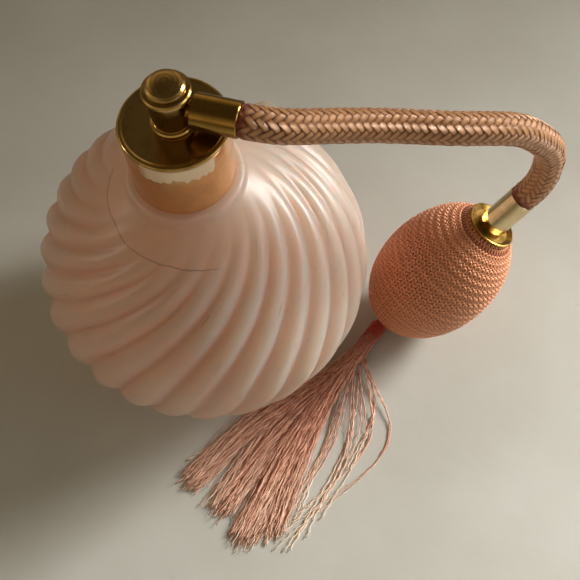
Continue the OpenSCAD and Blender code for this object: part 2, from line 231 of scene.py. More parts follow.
class Look:
    """A node material being built; each method adds a node and gives its output."""

    def __init__(self, name, constants):
        self.material = bpy.data.materials.new(name)
        self.material.use_nodes = True
        self.tree = self.material.node_tree
        self.shader = self.tree.nodes["Principled BSDF"]
        for key, value in constants.items():
            self.shader.inputs[key].default_value = value
        self.position = self.add("ShaderNodeTexCoord").outputs["Object"]

    def add(self, kind, inputs=None, **settings):
        made = self.tree.nodes.new(kind)
        for key, value in settings.items():
            setattr(made, key, value)
        for key, value in (inputs or {}).items():
            self.feed(made.inputs[key], value)
        return made

    def feed(self, socket, value):
        if isinstance(value, bpy.types.NodeSocket):
            self.tree.links.new(value, socket)
        else:
            socket.default_value = value

    def set(self, name, value):
        self.feed(self.shader.inputs[name], value)

    def noise(self, size, detail=3.0, stretch=None, distortion=0.0):
        """Noise from 0 to 1 whose features are about size metres across."""
        where = self.position
        if stretch is not None:
            where = self.add("ShaderNodeMapping", {"Vector": where, "Scale": stretch}).outputs["Vector"]
        made = self.add("ShaderNodeTexNoise", {
            "Vector": where, "Scale": 1 / size, "Detail": detail, "Distortion": distortion,
        })
        return made.outputs["Fac"]

    def value(self, name):
        """One of the mesh's named numbers."""
        return self.add("ShaderNodeAttribute", attribute_name=name).outputs["Fac"]

    def math(self, operation, a, b=0.0):
        made = self.add("ShaderNodeMath", operation=operation)
        self.feed(made.inputs[0], a)
        self.feed(made.inputs[1], b)
        return made.outputs[0]

    def between(self, value, low, high, to_low=0.0, to_high=1.0):
        """Value from low..high mapped smoothly onto to_low..to_high."""
        made = self.add("ShaderNodeMapRange", {
            "Value": value, "From Min": low, "From Max": high, "To Min": to_low, "To Max": to_high,
        }, interpolation_type="SMOOTHSTEP")
        return made.outputs["Result"]

    def polar(self, centre=(0, 0)):
        """Distance from an upright axis (m), angle round it (radians) and height (m) of the shaded point."""
        parts = self.add("ShaderNodeSeparateXYZ", {"Vector": self.position}).outputs
        x = self.math("SUBTRACT", parts["X"], centre[0])
        y = self.math("SUBTRACT", parts["Y"], centre[1])
        square = self.math("ADD", self.math("MULTIPLY", x, x), self.math("MULTIPLY", y, y))
        return self.math("SQRT", square), self.math("ARCTAN2", y, x), parts["Z"]

    def mix(self, share, a, b):
        """Colour a where share is 0, and b where it is 1."""
        made = self.add("ShaderNodeMix", data_type="RGBA")
        self.feed(made.inputs["Factor"], share)
        self.feed(made.inputs[6], a)
        self.feed(made.inputs[7], b)
        return made.outputs[2]

    def bump(self, height, distance, strength, under=None):
        made = self.add("ShaderNodeBump", {"Height": height, "Distance": distance, "Strength": strength})
        if under is not None:
            self.feed(made.inputs["Normal"], under)
        return made.outputs["Normal"]


def set_look(piece, look):
    piece.data.materials.clear()
    piece.data.materials.append(look.material)


HAIRLINE_CENTRE = (2.5 * MM, -0.56 * MM)    # the line is a wobbly arc round here
HAIRLINE_R = 24.05 * MM
HAIRLINE_END = (-0.95, -1.15)               # the angles (radians) over which it comes in
HAIRLINE_FLOOR = (76 * MM, 78 * MM)         # and the heights, so that it is only on the shoulder


def hairline(look):
    """Share of a thin dark line on the shoulder, from the left of the neck round to its front."""
    distance, angle, height = look.polar(HAIRLINE_CENTRE)
    wobble = look.math("MULTIPLY", look.math("SUBTRACT", look.noise(9 * MM, 3), 0.5), 2.4 * MM)
    off = look.math("ABSOLUTE", look.math("SUBTRACT", look.math("ADD", distance, wobble), HAIRLINE_R))
    line = look.between(off, 0.07 * MM, 0.22 * MM, 1.0, 0.0)
    extent = look.math("MULTIPLY", look.between(angle, *HAIRLINE_END), look.between(height, *HAIRLINE_FLOOR))
    return look.math("MULTIPLY", line, extent)


def frosted_glass():
    """Frosted pink glass: painted shade makes the grooves pinker and darker; fine grain, a few dark marks and
    the hairline.
    """
    look = Look("frosted_glass", {
        "Transmission Weight": 0.5, "IOR": 1.42, "Subsurface Weight": 1.0, "Subsurface Scale": 20 * MM,
        "Subsurface Radius": (1.0, 0.7, 0.5), "Coat Weight": 0.08, "Coat Roughness": 0.28,
    })
    valley = look.value("valley")
    cloud = look.noise(18 * MM, 4)
    # painted shade: the deeper into a groove, the pinker and darker the glass
    tint = look.mix(look.between(valley, 0.1, 1.0, 0.0, 0.4), linear("#ffd6c5"), linear("#eea592"))
    tint = look.mix(look.between(cloud, 0.35, 0.7, 0.0, 0.3), tint, linear("#fee0d2"))
    along_ribs = look.add("ShaderNodeCombineXYZ", {
        "X": look.math("MULTIPLY", look.math("COSINE", look.value("sweep")), 8.0),
        "Y": look.math("MULTIPLY", look.math("SINE", look.value("sweep")), 8.0),
        "Z": look.math("MULTIPLY", look.value("latitude"), 0.5),
    }).outputs["Vector"]
    streaks = look.add("ShaderNodeTexNoise", {
        "Vector": along_ribs, "Scale": 14.0, "Detail": 2.0,
    }).outputs["Fac"]
    tint = look.mix(look.between(streaks, 0.715, 0.745, 0.0, 0.55), tint, linear("#6f5248"))
    tint = look.mix(look.math("MULTIPLY", hairline(look), 0.55), tint, linear("#5d463f"))
    look.set("Base Color", tint)
    look.set("Roughness", look.between(cloud, 0.2, 0.8, 0.33, 0.41))
    look.set("Normal", look.bump(look.noise(0.25 * MM, 2), 0.03 * MM, 0.4))
    return look


def worn_metal_with_painted_light(name, bright, dull, rough, tarnish, wave, painted_reflection_top=None):
    """Old plated metal: cloudy tarnish, small dark specks, and the bright colour of rubbed plating and
    painted glints on its edges.

    tarnish is the dull colour's greatest share, wave is the depth of the surface's unevenness, and the
    last argument is the height above which the front of the piece carries a painted cream reflection.
    """
    look = Look(name, {"Metallic": 1.0})
    cloud = look.noise(5 * MM, 5, distortion=0.4)
    fine = look.noise(0.8 * MM, 4)
    specks = look.between(look.noise(0.5 * MM, 2), 0.70, 0.76)
    colour = look.mix(look.between(cloud, 0.35, 0.65, 0.0, tarnish), linear(bright), linear(dull))
    colour = look.mix(look.between(fine, 0.4, 0.7, 0.0, 0.3), colour, linear(dull))
    colour = look.mix(look.math("MULTIPLY", specks, 0.55), colour, linear("#2a1c0e"))
    # painted reflection: a bright cream band, less metallic, for the glass shoulder mirrored under the rim
    if painted_reflection_top is not None:
        _, angle, height = look.polar()
        ragged = look.math("SUBTRACT", look.noise(2.0 * MM, 6, (1, 1, 0.15)), 0.5)
        ragged = look.math("MULTIPLY", ragged, 6 * MM)
        under_rim = look.between(look.math("ADD", height, ragged), painted_reflection_top - 0.12 * MM, painted_reflection_top + 0.12 * MM)
        sides = look.math("MULTIPLY", look.between(angle, -0.46, -0.5), look.between(angle, -2.1, -1.7))
        painted_reflection = look.math("MULTIPLY", under_rim, sides)
        colour = look.mix(painted_reflection, colour, linear("#fff6e6"))
        look.set("Metallic", look.math("SUBTRACT", 1.0, look.math("MULTIPLY", painted_reflection, 0.8)))
    # the bright colour on pointed edges is partly rubbed plating and partly a painted glint
    edge = look.add("ShaderNodeNewGeometry").outputs["Pointiness"]
    colour = look.mix(look.between(edge, 0.52, 0.58, 0.0, 0.5), colour, linear(bright))
    look.set("Base Color", colour)
    rubbed = look.between(cloud, 0.3, 0.7, rough * 0.75, rough * 1.35)
    look.set("Roughness", look.math("ADD", rubbed, look.math("MULTIPLY", specks, 0.25)))
    normal = look.bump(fine, 0.01 * MM, 0.35)
    look.set("Normal", look.bump(look.noise(6 * MM, 1), wave, 1.0, normal))
    return look


def plain_metal(name, colour, rough):
    """Clean metal with faint turning marks."""
    look = Look(name, {"Metallic": 1.0})
    cloud = look.noise(3 * MM, 3)
    dull = look.between(cloud, 0.3, 0.7, 0.0, 0.35)
    look.set("Base Color", look.mix(dull, linear(colour), linear("#6f675c")))
    look.set("Roughness", look.between(cloud, 0.3, 0.7, rough, rough + 0.12))
    look.set("Normal", look.bump(look.noise(0.3 * MM, 2, (1, 1, 6)), 0.01 * MM, 0.4))
    return look


def moulded(name, colour, rough, soft=0.1):
    """Moulded plastic or rubber with a fine surface grain."""
    look = Look(name, {"Subsurface Weight": soft, "Subsurface Scale": 2 * MM})
    cloud = look.noise(4 * MM, 3)
    darker = tuple(c * 0.7 for c in linear(colour)[:3]) + (1.0,)
    look.set("Base Color", look.mix(look.between(cloud, 0.3, 0.7, 0.0, 0.5), linear(colour), darker))
    look.set("Roughness", look.between(cloud, 0.3, 0.7, rough, rough + 0.15))
    look.set("Normal", look.bump(look.noise(0.2 * MM, 2), 0.01 * MM, 0.5))
    return look


def satin(name, light, deep, rough, fibre_count, ends=None, faded=None, gloss=0.0, relief=0.03 * MM):
    """Silky thread: fine fibres, a painted highlight on top of each strand and painted shade at its sides.

    ends and faded are colours for where the values of those names are high; gloss tints the highlights,
    and relief is the depth between fibres.
    """
    look = Look(name, {
        "Sheen Weight": 0.12, "Sheen Roughness": 0.4, "Specular IOR Level": 0.75, "Metallic": gloss,
    })
    across = look.value("across")
    shade = look.value("shade")
    crown = look.value("crown")
    # painted highlight on the top of each strand, painted shade at its sides and where it passes under
    colour = look.mix(look.between(crown, 0.1, 0.9), linear(deep), linear(light))
    colour = look.mix(look.math("MULTIPLY", shade, 0.35), colour, linear(deep))
    if faded is not None:
        colour = look.mix(look.value("faded"), colour, linear(faded))
    if ends is not None:
        colour = look.mix(look.value("ends"), colour, linear(ends))
    look.set("Base Color", colour)
    look.set("Roughness", look.between(look.noise(1.2 * MM, 3), 0.3, 0.7, rough, rough + 0.14))
    wave = look.math("SINE", look.math("MULTIPLY", across, fibre_count * TAU))
    look.set("Normal", look.bump(wave, relief, 0.6))
    return look


PAINTED_REFLECTION_BAND = 4.8 * MM                        # depth of the painted reflection under the collar's top

glass_look = frosted_glass()
rose_gold_look = worn_metal_with_painted_light(
    "rose_gold", "#e6bb88", "#bd9060", rough=0.18, tarnish=0.4, wave=0.1 * MM, painted_reflection_top=collar_high.z - PAINTED_REFLECTION_BAND,
)
aged_brass_look = worn_metal_with_painted_light("aged_brass", "#c4a364", "#8c6e3d", rough=0.17, tarnish=0.6, wave=0.03 * MM)
barrel_brass_look = worn_metal_with_painted_light("barrel_brass", "#a98440", "#6c5022", rough=0.17, tarnish=0.6, wave=0.03 * MM)
bright_brass_look = worn_metal_with_painted_light("bright_brass", "#c49c54", "#7d5f2c", rough=0.26, tarnish=0.6, wave=0.02 * MM)
pale_gold_look = worn_metal_with_painted_light("pale_gold", "#dcc79c", "#a88f62", rough=0.2, tarnish=0.45, wave=0.03 * MM)
nickel_look = plain_metal("nickel", "#cfc9bf", rough=0.22)
steel_look = plain_metal("steel_ball", "#d4d4d2", rough=0.08)
liner_look = moulded("liner_plastic", "#e9e0cf", rough=0.4, soft=0.3)
siphon_look = moulded("siphon_plastic", "#efece2", rough=0.3, soft=0.4)
seal_look = moulded("seal_rubber", "#2e2a28", rough=0.55)
tan_rubber_look = moulded("tan_rubber", "#a8623f", rough=0.55, soft=0.2)


# ---------------------------------------------------------------- camera
CAMERA_EYE = np.array([74.75, -131.99, 314.5]) * MM
CAMERA_AZIMUTH = math.radians(20)
CAMERA_ELEVATION = math.radians(63.2)
CAMERA_ROLL = math.radians(4.8)
CAMERA_LENS = 62.07


def make_camera():
    back = Vector((
        math.sin(CAMERA_AZIMUTH) * math.cos(CAMERA_ELEVATION),
        -math.cos(CAMERA_AZIMUTH) * math.cos(CAMERA_ELEVATION),
        math.sin(CAMERA_ELEVATION),
    ))
    level = Vector((math.cos(CAMERA_AZIMUTH), math.sin(CAMERA_AZIMUTH), 0))
    up = back.cross(level)
    right = math.cos(CAMERA_ROLL) * level - math.sin(CAMERA_ROLL) * up
    upright = math.sin(CAMERA_ROLL) * level + math.cos(CAMERA_ROLL) * up
    data = bpy.data.cameras.new("camera")
    data.lens = CAMERA_LENS
    data.sensor_width = 36
    camera = bpy.data.objects.new("camera", data)
    turn = Matrix((right, upright, back)).transposed().to_4x4()
    camera.matrix_world = Matrix.Translation(CAMERA_EYE) @ turn
    bpy.context.scene.collection.objects.link(camera)
    bpy.context.scene.camera = camera


make_camera()

# ---------------------------------------------------------------- hose
HOSE_D = 8.9 * MM
# The hose's route from the barrel's mouth; its last point, the ferrule's mouth, is added below
hose_route = [
    (0.018, 0, 0.1215), (0.025, 0.001, 0.1205), (0.031, 0.004, 0.118), (0.037, 0.008, 0.115),
    (0.043, 0.0115, 0.1125), (0.049, 0.0145, 0.1105), (0.0555, 0.017, 0.109), (0.062, 0.019, 0.108),
    (0.0685, 0.0215, 0.1065), (0.0745, 0.0245, 0.1045), (0.080, 0.028, 0.1015), (0.0845, 0.0315, 0.097),
    (0.088, 0.0345, 0.0915), (0.091, 0.0375, 0.0855), (0.093, 0.0395, 0.079), (0.0935, 0.0395, 0.072),
    (0.0925, 0.038, 0.0655),
]
FERRULE_END = 41.2 * MM                     # the ferrule's mouth, from the bulb's centre
ferrule_mouth = bulb_centre + FERRULE_END * bulb_axis
hose_path = clamped_spline(hose_route + [tuple(ferrule_mouth)], (1, 0, 0), -bulb_axis, 361)
hose_length = length_of(hose_path)
hose_step = hose_length / (len(hose_path) - 1)


def hose_places(run):
    """Points on the hose's centreline, run metres past the barrel's mouth, with directions round it."""
    spare = 12                              # straight points carried past each end
    past = np.arange(1, spare + 1) * hose_step * 3
    before = hose_path[0] - np.outer(past[::-1], (1, 0, 0))
    after = hose_path[-1] - np.outer(past, bulb_axis)
    points = np.vstack([before, hose_path, after])
    runs = np.concatenate([-past[::-1], np.arange(len(hose_path)) * hose_step, hose_length + past])
    side, up = carried_frames(points)
    found = [np.stack([np.interp(run, runs, a[:, k]) for k in range(3)], axis=-1) for a in (points, side, up)]
    return found[0], unit(found[1]), unit(found[2])


IN_BARREL = 8.4 * MM                        # how far the rubber tube goes into the barrel
IN_FERRULE = 9 * MM                         # and into the ferrule
tube_middle = hose_places(np.linspace(-IN_BARREL, hose_length + IN_FERRULE, 150))


def hose_tube():
    """The rubber tube inside the braid, from its end in the barrel to its end in the ferrule."""
    outer = 3.45 * MM
    bore = 1.7 * MM
    count = 28
    points, side, up = tube_middle
    outside = swept(points, side, up, oval(2 * outer, 2 * outer, count)[::-1])
    inside = swept(points[::-1], side[::-1], up[::-1], oval(2 * bore, 2 * bore, count)[::-1])
    faces = ring_quads(2 * len(points), count, closed=True)
    return add_mesh("hose_tube", np.vstack([outside, inside]), faces)


BRAID_STRANDS = 12                          # strands each way round
BRAID_PITCH = 2.2 * MM                      # distance along the hose between stitches of a column
STRAND_W = 1.62 * MM
STRAND_T = 0.38 * MM
STRAND_YARNS = 3                            # yarns side by side in a strand
BRAID_LIFT = 0.17 * MM                      # how far a strand rises over, or dips under, the middle
BRAID_TUCK = 0.42 * MM                      # how far the braid draws in at its two ends
BRAID_OVERLAP = 1.6 * MM                    # how far it goes into the barrel and the ferrule
FRAYED = 5                                  # fibres that have worked loose from it


def braid(name, way):
    """The strands that wind one way round the hose: each floats over two and dips under two."""
    bundle = Bundle()
    slope = TAU / (BRAID_STRANDS * BRAID_PITCH)
    sides = 18
    run = np.linspace(-BRAID_OVERLAP, hose_length + BRAID_OVERLAP, 400)
    points, side, up = hose_places(run)
    outline = ribbed_oval(STRAND_W, STRAND_T, sides, STRAND_YARNS)
    painted_highlight_across = 0.35 + 0.65 * np.cos(math.pi * outline[:, 0] / STRAND_W) ** 2
    from_end = np.minimum(run, hose_length - run)
    inset = smooth((1.8 * MM - from_end) / (2.4 * MM))
    glued = smooth((2.2 * MM - from_end) / (1.4 * MM))
    middle = 0.5 * HOSE_D - BRAID_LIFT - 0.5 * STRAND_T - BRAID_TUCK * inset
    for i in range(BRAID_STRANDS):
        loose = 0.05 * MM * np.sin(run / (7 * MM) + 2.4 * i)
        angle = TAU * i / BRAID_STRANDS + way * slope * run
        column = angle * BRAID_STRANDS / math.pi
        rise = np.cos(TAU * (column - 0.5) / 4) * way
        rise = np.tanh(1.6 * rise) / math.tanh(1.6)
        radius = middle + BRAID_LIFT * rise * (1 - 0.5 * inset) + loose * (1 - inset)
        out = np.cos(angle)[:, None] * side + np.sin(angle)[:, None] * up
        line = points + radius[:, None] * out
        tangent = unit(np.gradient(line, axis=0))
        across = unit(np.cross(tangent, out))
        outward = np.cross(across, tangent)
        rings = swept(line, across, outward, outline)
        # painted light: a highlight down each strand's middle, and painted shade where it dips under the
        # others
        bundle.add(
            rings, len(run), sides,
            across=np.tile(outline[:, 0] / STRAND_W + 0.5, len(run)),
            crown=np.tile(painted_highlight_across, len(run)) * np.repeat(0.6 + 0.4 * rise, sides),
            shade=np.full(len(rings), random.uniform(0, 0.7)),
            ends=np.repeat(glued, sides),
        )
    return bundle.piece(name)


def frayed_fibres(name):
    """A few fibres that have worked loose from the braid beside the barrel."""
    bundle = Bundle()
    sides = 4
    width = 0.12 * MM
    for _ in range(FRAYED):
        first = random.uniform(2, 5) * MM
        run = first + np.linspace(0, random.uniform(3, 6) * MM, 24)
        points, side, up = hose_places(run)
        share = np.linspace(0, 1, len(run))
        turn = random.uniform(0.5, 1.1) + random.uniform(-0.4, 0.4) * share
        lift = 0.5 * HOSE_D - 0.15 * MM + random.uniform(0.4, 1.3) * MM * np.sin(math.pi * share)
        out = np.sin(turn)[:, None] * side + np.cos(turn)[:, None] * up
        line = points + lift[:, None] * out
        across, outward = carried_frames(line)
        rings = swept(line, across, outward, oval(width, width, sides))
        total = len(rings)
        bundle.add(
            rings, len(run), sides,
            across=np.zeros(total), crown=np.ones(total), shade=np.zeros(total),
        )
    return bundle.piece(name)


braid_look = satin(
    "satin_braid", "#d39b68", "#7a4628", rough=0.28, fibre_count=9, ends="#8a3524", gloss=0.15,
    relief=0.05 * MM,
)
hose_core_look = moulded("hose_core", "#8a4a30", rough=0.6, soft=0.15)
tube = hose_tube()
set_look(tube, hose_core_look)
braids = [braid("hose_braid_right", 1), braid("hose_braid_left", -1)]
BEND_REACH = 40 * MM                        # how far past the barrel the point bend_end is taken on the hose
bend_end = Vector(hose_places(np.array([BEND_REACH]))[0][0])
fibres = frayed_fibres("frayed_fibres")
set_look(fibres, satin("loose_fibre", "#e8c888", "#c9a265", rough=0.35, fibre_count=1))
for piece in [tube, fibres] + braids:
    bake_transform(piece)
for piece in braids:
    set_look(piece, braid_look)
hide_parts("hose_core")
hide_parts("hose_braid")

# ---------------------------------------------------------------- glass bottle
RIBS = 24
RIB_DEPTH = 2.2 * MM
RIB_TURN = math.radians(73)
RIB_START = math.radians(-4.7)
BODY_HALF = 45 * MM
SHOULDER_LIFT = 3.2 * MM
RING_R = 16 * MM
RING_TOP = 93.3 * MM
FOOT_R = 24 * MM
NECK_R = 10.9 * MM
NECK_BORE = 8 * MM
GLASS_WALL = 4.5 * MM
THREAD_Z = 96.5 * MM
THREAD_PITCH = 3 * MM
THREAD_DEPTH = 1.0 * MM
THREAD_END = 3 * math.pi                    # the angle at which the thread's one and a half turns end
TURNED_AT = 70                              # degrees above the widest place where a rib has turned RIB_TURN
EVEN_TURN = 0.32                            # share of that turn that is even
GROWING_TURN = 0.68                         # share that grows away from the widest place
SHOULDER_START = math.radians(50)           # the shoulder is lifted from here up
RIB_POINTS = 14                             # points across each rib
BODY_BELTS = 118                            # rings of points up the ribbed body
INSIDE_BELTS = 56                           # rings down the inside
NECK_STEP = 0.26 * MM                       # height between rings on the neck

# Radius and height in mm: the foot from the table, the step ring from its top, the mouth from the lip
FOOT_PROFILE = [(0.2, 0), (12, 0), (20.5, 0), (21.4, 0.4), (22.2, 1.2), (22.8, 2.4), (23.5, 3.8), (23.9, 4.8)]
RING_PROFILE = [
    (16.15, -2.2), (16, -1.5), (15.93, -0.8), (15.7, -0.35), (15.3, -0.08), (14.8, 0), (13, 0),
    (11.6, 0), (11.15, 0.12), (10.95, 0.5),
]
MOUTH_PROFILE = [
    (10.88, -0.45), (10.7, -0.15), (10.3, 0), (8.6, 0), (8.2, -0.12), (8, -0.5), (8, -5), (8, -12),
]


def rib_phase(a):
    """How far the ribs have turned at an angle (radians) above the widest place."""
    degrees = np.degrees(a)
    even = EVEN_TURN * degrees / TURNED_AT
    growing = GROWING_TURN * degrees ** 2 / TURNED_AT ** 2 * np.sign(degrees)
    return RIB_START + RIB_TURN * (even + growing)


def bottle_glass():
    """The closed skin of the glass: foot, ribbed body, step ring, threaded neck, bore and inside."""
    around = RIBS * RIB_POINTS
    t = TAU * np.arange(around) / around
    rows = []
    values = {"valley": [], "sweep": [], "latitude": []}

    def belt(radius, z, valley=0.0, latitude=-9.0, turned=0.0):
        """One ring of points; a latitude of -9 is for those off the ribbed body."""
        radius = np.broadcast_to(radius, t.shape)
        rows.append(np.stack([radius * np.cos(t), radius * np.sin(t), np.broadcast_to(z, t.shape)], axis=-1))
        values["valley"].append(np.broadcast_to(valley, t.shape))
        values["sweep"].append(t - turned)
        values["latitude"].append(np.full(around, latitude))

    for r, z in FOOT_PROFILE:
        belt(r * MM, z * MM)
    low = -math.acos(FOOT_R / body_r)
    high = math.acos((RING_R + 0.8 * MM) / body_r)
    for a in np.linspace(low, high, BODY_BELTS):
        wave = np.cos(RIBS * (t - rib_phase(a)) / 2)
        lobe = np.sqrt(wave ** 2 + 0.05 ** 2)
        fade = smooth((72 - math.degrees(a)) / 26) * min(1, (a - low) / math.radians(20))
        groove = RIB_DEPTH * fade * math.cos(a) * (1 - lobe)
        lift = SHOULDER_LIFT * (max(0, a - SHOULDER_START) / (high - SHOULDER_START)) ** 2
        radius = (body_r - groove) * math.cos(a)
        height = BODY_HALF + (BODY_HALF - groove) * math.sin(a) + lift
        belt(radius, height, (1 - lobe) * fade, a, rib_phase(a))
    for r, z in RING_PROFILE:
        belt(r * MM, RING_TOP + z * MM)
    for z in np.arange(RING_TOP + 0.7 * MM, lip_z - 0.6 * MM, NECK_STEP):
        ridge = np.zeros_like(t)
        for turn in range(2):
            wound = t + TAU * turn
            end = smooth(wound / 0.5) * smooth((THREAD_END - wound) / 0.5)
            off = np.abs(z - THREAD_Z - THREAD_PITCH * wound / TAU)
            ridge = np.maximum(ridge, smooth((1.15 * MM - off) / (0.85 * MM)) * end)
        belt(NECK_R + THREAD_DEPTH * ridge, z)
    for r, z in MOUTH_PROFILE:
        belt(r * MM, lip_z + z * MM)
    inner_r = body_r - GLASS_WALL
    inner_half = BODY_HALF - GLASS_WALL
    for a in np.linspace(math.acos(NECK_BORE / inner_r), math.radians(-89.7), INSIDE_BELTS):
        belt(inner_r * math.cos(a), BODY_HALF + inner_half * math.sin(a))
    points = np.concatenate(rows)
    faces = ring_quads(len(rows), around) + end_caps(len(rows), around)
    joined = {key: np.concatenate(parts) for key, parts in values.items()}
    return add_mesh("bottle_glass", points, faces, joined)


glass = bottle_glass()
tidy_normals(glass, 50)
set_look(glass, glass_look)
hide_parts("glass_bottle")
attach(glass, "bottle")

# ---------------------------------------------------------------- bulb
BULB_R = 19.2 * MM
BULB_HALF = 28.4 * MM
BULB_FRONT = 25.7 * MM
NET_YARN = 0.86 * MM
WALES = 50                                  # stitches round the bulb
COURSES = 25                                # rows of stitches from tail to flange
LOOP_BULGE = 0.24                           # how far a loop bulges sideways, in stitches
LOOP_HEIGHT = 0.93                          # how far a loop reaches past its row, in rows
PUCKERS = 35                                # folds in the net's gathered edge
GATHER_R = 7.25 * MM                        # radius of that edge
NET_TAIL = -0.95                            # where the rows start, from -1 at the tail to 1 at the front
NET_FRONT = 0.69
LOOP_REACH = (-0.985, 0.735)                # how far the first and the last row's loops may go
BLADDER_TAIL = -0.93
BLADDER_DEPTH = 0.78 * MM                   # from the bulb's outline in to the rubber's outside
BLADDER_INSIDE = 2.2 * MM                   # and in to its inside


def bulb_frame():
    """Two directions across the bulb's axis."""
    side = unit(np.cross((0, 0, 1), bulb_axis))
    return side, np.cross(bulb_axis, side)


def bulb_point(along, angle, depth):
    """A point on the bulb: along from -1 at the tail to 1, angle round the axis, depth under its outline."""
    side, over = bulb_frame()
    latitude = along * math.pi / 2
    ring = (BULB_R - depth) * np.cos(latitude)
    height = (BULB_HALF - depth) * np.sin(latitude)
    out = np.cos(angle)[..., None] * side + np.sin(angle)[..., None] * over
    return bulb_centre + height[..., None] * bulb_axis + ring[..., None] * out


def bulb_bladder():
    """The hollow rubber bladder that shows between the stitches."""
    count = 96
    angle = TAU * np.arange(count) / count
    front = math.asin(BULB_FRONT / BULB_HALF) / (math.pi / 2)
    rows = []
    for along in np.linspace(BLADDER_TAIL, front, 60):
        rows.append(bulb_point(np.full(count, along), angle, BLADDER_DEPTH))
    for along in np.linspace(front - 0.02, BLADDER_TAIL, 40):
        rows.append(bulb_point(np.full(count, along), angle, BLADDER_INSIDE))
    return add_mesh("rubber_bladder", np.concatenate(rows), ring_quads(len(rows), count, closed=True))


def knit_course(bundle, middle, pitch):
    """One row of knitting round the bulb: a yarn that loops under the row before and over the next."""
    sides = 6
    steps = 16                              # points along each stitch
    t = TAU * np.arange(WALES * steps) / steps
    wale = TAU / WALES
    angle = wale * (t / TAU) + LOOP_BULGE * wale * np.sin(2 * t)
    along = np.clip(middle - LOOP_HEIGHT * pitch * np.cos(t), *LOOP_REACH)
    depth = 0.5 * NET_YARN + 0.34 * MM * (1 - np.cos(2 * t)) * 0.5
    shift = random.uniform(-0.04, 0.04) * np.sin(angle * 3 + random.uniform(0, TAU))
    line = bulb_point(along + shift * pitch, angle, depth)
    under = bulb_point(along + shift * pitch, angle, depth + 1 * MM)
    out = unit(line - under)
    tangent = unit(np.roll(line, -1, axis=0) - np.roll(line, 1, axis=0))
    across = unit(np.cross(tangent, out))
    outward = np.cross(across, tangent)
    shrink = np.clip(np.cos(middle * math.pi / 2) / 0.75, 0.45, 1)
    outline = oval(NET_YARN * shrink, NET_YARN * 0.85 * shrink, sides)
    rings = swept(line, across, outward, outline)
    count = len(line)
    # painted light: each yarn lighter on its outer side, and painted shade where its loops sink under the
    # next row
    bundle.add(
        rings, count, sides, closed=True,
        across=np.tile(np.arange(sides) / sides, count),
        crown=np.tile(outline[:, 1] / np.abs(outline[:, 1]).max() * 0.5 + 0.5, count)
        * np.repeat(0.66 + 0.34 * np.cos(2 * t), sides),
        shade=np.full(len(rings), random.uniform(0, 0.2)),
    )


def net_gather(name):
    """The net's edge, drawn together in puckers under the flange."""
    side, over = bulb_frame()
    sides = 10
    count = 360
    angle = TAU * np.arange(count) / count
    pucker = np.abs(np.cos(0.5 * PUCKERS * angle + 0.8 * np.sin(3 * angle)))
    out = np.cos(angle)[:, None] * side + np.sin(angle)[:, None] * over
    radius = GATHER_R + 0.12 * MM * pucker
    middle = bulb_centre + (BULB_FRONT - 0.12 * MM) * bulb_axis + radius[:, None] * out
    round_it = TAU * np.arange(sides) / sides
    thick = 0.26 * MM + 0.22 * MM * pucker
    rings = (
        middle[:, None]
        + thick[:, None, None] * 1.5 * np.cos(round_it)[None, :, None] * out[:, None]
        + thick[:, None, None] * np.sin(round_it)[None, :, None] * bulb_axis
    )
    # painted shade in the folds between the puckers, lighter on their ridges
    crown = np.repeat(0.3 + 0.7 * pucker, sides)
    faces = ring_quads(count, sides, closed=True)
    return add_mesh(name, rings.reshape(-1, 3), faces, {
        "across": np.tile(round_it / TAU, count), "crown": crown, "shade": np.full(count * sides, 0.2),
    })


def net(name, first, last):
    """Part of the knitted net, from one course to another."""
    bundle = Bundle()
    pitch = (NET_FRONT - NET_TAIL) / COURSES
    for row in range(first, last):
        knit_course(bundle, NET_TAIL + (row + 0.5) * pitch, pitch)
    return bundle.piece(name)


net_look = satin("knit_net", "#e89e70", "#914727", rough=0.34, fibre_count=3)
bladder = bulb_bladder()
set_look(bladder, tan_rubber_look)
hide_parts("rubber_bulb")
nets = [net("net_tail", 0, COURSES // 2), net("net_front", COURSES // 2, COURSES), net_gather("net_gather")]
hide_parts("net_cover")
for piece in nets:
    set_look(piece, net_look)
for piece in nets + [bladder]:
    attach(piece, "bulb")
    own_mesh(piece)

# ---------------------------------------------------------------- tassel
FLOOR_GAP = 0.15 * MM                       # the lowest threads stay this far above the table
THREAD_D = 0.3 * MM
STRAY_D = 0.36 * MM
CRINKLE_ASIDE = 0.2 * MM                    # how far a thread's crinkles go sideways
CRINKLE_UP = 0.14 * MM                      # and up and down


def crinkled_thread(bundle, route, wave, width, shade, pale):
    """One thread along a route of points; pale is how far its free end has faded."""
    sides = 4
    count = 64
    line = clamped_spline(route, unit(route[1] - route[0]), unit(route[-1] - route[-2]), count)
    side, up = carried_frames(line)
    run = np.linspace(0, length_of(line), count)
    grown = smooth(run / (8 * MM))
    phase = random.uniform(0, TAU, 3)
    sway = np.sin(TAU * run / wave + phase[0]) + 0.5 * np.sin(TAU * run / (2.3 * wave) + phase[1])
    bob = np.sin(TAU * run / (0.9 * wave) + phase[2])
    line = line + (CRINKLE_ASIDE * grown * sway)[:, None] * side + (CRINKLE_UP * grown * bob)[:, None] * up
    line[:, 2] = np.maximum(line[:, 2], FLOOR_GAP + 0.5 * width)
    side, up = carried_frames(line)
    outline = oval(width, 0.8 * width, sides)
    rings = swept(line, side, up, outline)
    along = run / run[-1]
    # painted highlights along the crinkles: each thread lighter on one side of each sway
    bundle.add(
        rings, count, sides,
        across=np.tile(np.arange(sides) / sides, count),
        crown=np.repeat(0.55 + 0.35 * np.sin(TAU * run / wave + phase[0]), sides),
        shade=np.repeat(shade * (1 - pale * along), sides),
        faded=np.repeat(pale * smooth((along - 0.4) / 0.6), sides),
        ends=np.repeat(0.85 * smooth((16 * MM - run) / (16 * MM)), sides),
    )


